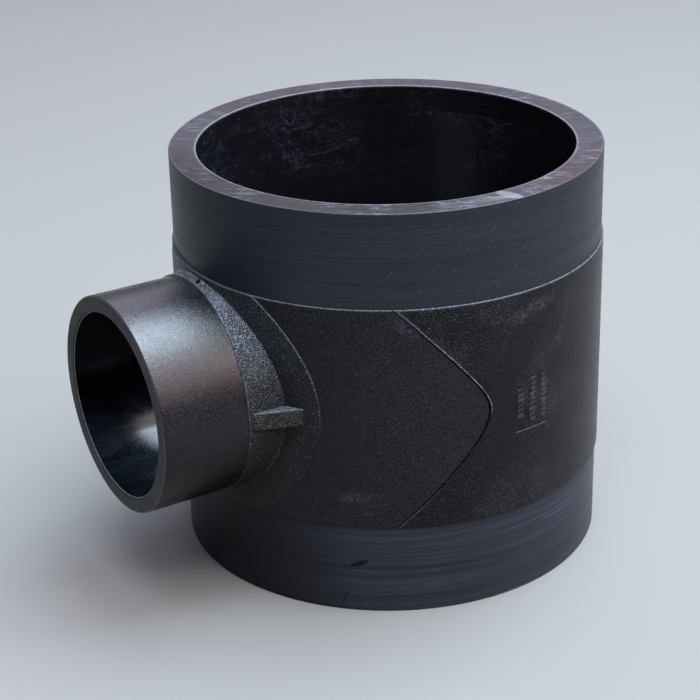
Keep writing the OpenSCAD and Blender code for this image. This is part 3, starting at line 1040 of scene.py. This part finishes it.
def seam_bead(side, node):
    """Flash left on the rear shell's edge: a thin, uneven ridge that comes and goes."""
    low, high = corner(node, False)[2], corner(node, True)[2]
    up = np.linspace(low, high, 260)
    spread = np.array([0, 0.15, 0.4, 0.7, 1.0])
    rise = np.array([0, 0.6, 1.0])

    def place(i, j, k):
        z = up[i]
        ends = np.clip(np.minimum(z - low, high - z) / 18, 0.05, 1)
        wide = (1.6 + 0.6 * noise_at(z, 17, 81, 9.0) + 0.25 * noise_at(z, 3, 82, 9.0)) * ends + 0.3
        tall = (0.4 + 0.24 * noise_at(z, 13, 83, 9.0) + 0.14 * noise_at(z, 2.5, 84, 9.0)) * ends
        angle = seam_angle(z, np.full_like(z, SHELL_R)) + (0.25 + spread[j] * wide) / SHELL_R
        arch = np.sin(math.pi * (0.12 + 0.76 * spread[j]))
        radius = SHELL_R - 0.35 + (0.3 + tall * arch) * rise[k]
        points = about_run(angle, radius, z)
        points[:, 1] *= side
        return points

    add_piece(node, "torn", slab((up, spread, rise), place), [FLASH])


def shell_patch(angle, span, low, height, rise):
    """A raised patch that follows the rear shell."""
    arc = edge_rows(span * SHELL_R, 0.35, 1.5) / SHELL_R
    up = edge_rows(height, 0.3, 1.5)
    rises = np.array([-0.4, 0.3, 0.75, 1.0])

    def place(i, j, k):
        inset = np.array([0, 0, 0.16, 0.42])[k]
        a = angle + arc[i] + inset * (1 - 2 * arc[i] / span) / SHELL_R
        z = low + up[j] + inset * (1 - 2 * up[j] / height)
        return about_run(a, SHELL_R + rise * rises[k], z)

    return slab((arc, up, rises), place)


def marking():
    """The bar under the marking, and rows of blank tiles where the moulded characters would be."""
    mark_height = 0.7
    bar_low, bar_high = corner("marking_bar", False)[2], corner("marking_bar", True)[2]
    middle = math.radians(96)
    span = math.radians(10.7)
    bar = shell_patch(middle - span / 2, span, bar_low, bar_high - bar_low, mark_height)
    add_piece("marking_bar", "raised", bar, [MARK])
    tiles = []
    for row, (low, count) in enumerate(((278, 6), (267, 9), (267, 9))):
        angle = middle + math.radians(3.8) * (row - 1) - math.radians(0.9)
        for n in range(count):
            tiles.append(shell_patch(angle, math.radians(1.8), low + 7.8 * n, 5.4, mark_height))
    add_piece("marking_blanks", "raised", joined(tiles), [MARK])


run_end("upper_run_spigot", True, 101, TURNED_TOP)
run_end("lower_run_spigot", False, 131, TURNED_LOW)
rear_shell()
branch_panel(1, "branch_panel_left")
branch_panel(-1, "branch_panel_right")
branch_saddle()
branch_collar()
branch_spigot()
gusset_rib(1, "gusset_rib_left")
gusset_rib(-1, "gusset_rib_right")
crown_tick()
seam_bead(1, "seam_bead_left")
seam_bead(-1, "seam_bead_right")
marking()


# ---------------- floor, lights and camera
def floor():
    bpy.ops.mesh.primitive_plane_add(size=80, location=(0, 0, -0.0006))
    plane = bpy.context.object
    plane.name = "floor"
    s = Shader("studio_floor", (0.144, 0.138, 0.131), 0.1)
    s.layer(s.noise(0.6, 2.0), (0.15, 0.144, 0.137))
    plane.data.materials.append(s.finish(0.9))


def sky():
    """Soft studio surround: dim and neutral low down, bluish high up, with two warm pale panels."""
    world = bpy.data.worlds.new("studio")
    bpy.context.scene.world = world
    world.use_nodes = True
    s = Nodes(world.node_tree)
    place = s.node("ShaderNodeTexCoord").outputs["Generated"]
    split = s.node("ShaderNodeSeparateXYZ")
    ramp = s.node("ShaderNodeValToRGB")
    s.feed(place, split.inputs[0])
    s.feed(split.outputs["Z"], ramp.inputs[0])
    stops = ramp.color_ramp.elements
    stops[0].position, stops[0].color = 0.0, (0.15, 0.15, 0.15, 1)
    stops[1].position, stops[1].color = 1.0, (1.1, 1.3, 1.6, 1)
    for position, colour in ((0.25, (0.2, 0.2, 0.21, 1)), (0.6, (0.6, 0.72, 0.92, 1))):
        stops.new(position).color = colour
    shade = ramp.outputs[0]
    for direction, dim, full, colour in (
        ((-0.4, -0.57, 0.72), 0.84, 0.985, (2.5, 2.4, 2.9)),
        ((-0.41, 0.74, 0.53), 0.88, 0.98, (2.9, 1.85, 1.95)),
    ):
        toward = s.vector("DOT_PRODUCT", place, direction)
        shade = s.blend(s.span(toward, dim, full), shade, colour)
    s.feed(shade, s.nodes["Background"].inputs["Color"])


def softbox(name, place, aim, width, height, power, colour=(1, 1, 1)):
    light = bpy.data.lights.new(name, "AREA")
    light.shape, light.size, light.size_y = "RECTANGLE", width, height
    light.energy, light.color = power, colour
    lamp = put(name, light)
    lamp.location = place
    lamp.rotation_mode = "QUATERNION"
    lamp.rotation_quaternion = (Vector(aim) - Vector(place)).to_track_quat("-Z", "Y")


def camera():
    """Looks down on the fitting from the branch's left, leaning a little."""
    azimuth, elevation, lean = math.radians(148.62), math.radians(24.25), math.radians(-1.41)
    distance = 2.87186
    back = Vector((math.sin(azimuth) * math.cos(elevation), -math.cos(azimuth) * math.cos(elevation),
                   math.sin(elevation)))
    right = Vector((math.cos(azimuth), math.sin(azimuth), 0))
    up = back.cross(right)
    right, up = (math.cos(lean) * right + math.sin(lean) * up, -math.sin(lean) * right + math.cos(lean) * up)
    aim = Vector((0, 0, 0.3)) - right * 0.0584 - up * 0.03024
    data = bpy.data.cameras.new("camera")
    data.lens, data.sensor_width = 97.417, 36.0
    data.clip_start, data.clip_end = 0.05, 200.0
    eye = put("camera", data)
    turned = Matrix((right, up, back)).transposed().to_4x4()
    turned.translation = aim + back * distance
    eye.matrix_world = turned
    bpy.context.scene.camera = eye


floor()
sky()
softbox("overhead", (-2.0, 0.4, 6.3), (0.4, 0.0, 0.4), 4.0, 4.0, 1290.0, (0.7, 0.84, 1.0))
softbox("front_right", (-3.1, 4.56, 6.0), (0.38, 0.1, 0.35), 6.0, 5.2, 430.0, (0.95, 0.98, 1.0))
softbox("top", (1.25, 2.5, 6.45), (0.25, 0.1, 0.35), 4.0, 4.0, 600.0, (0.86, 0.95, 1.0))
camera()
bpy.context.scene.view_settings.view_transform = "Standard"
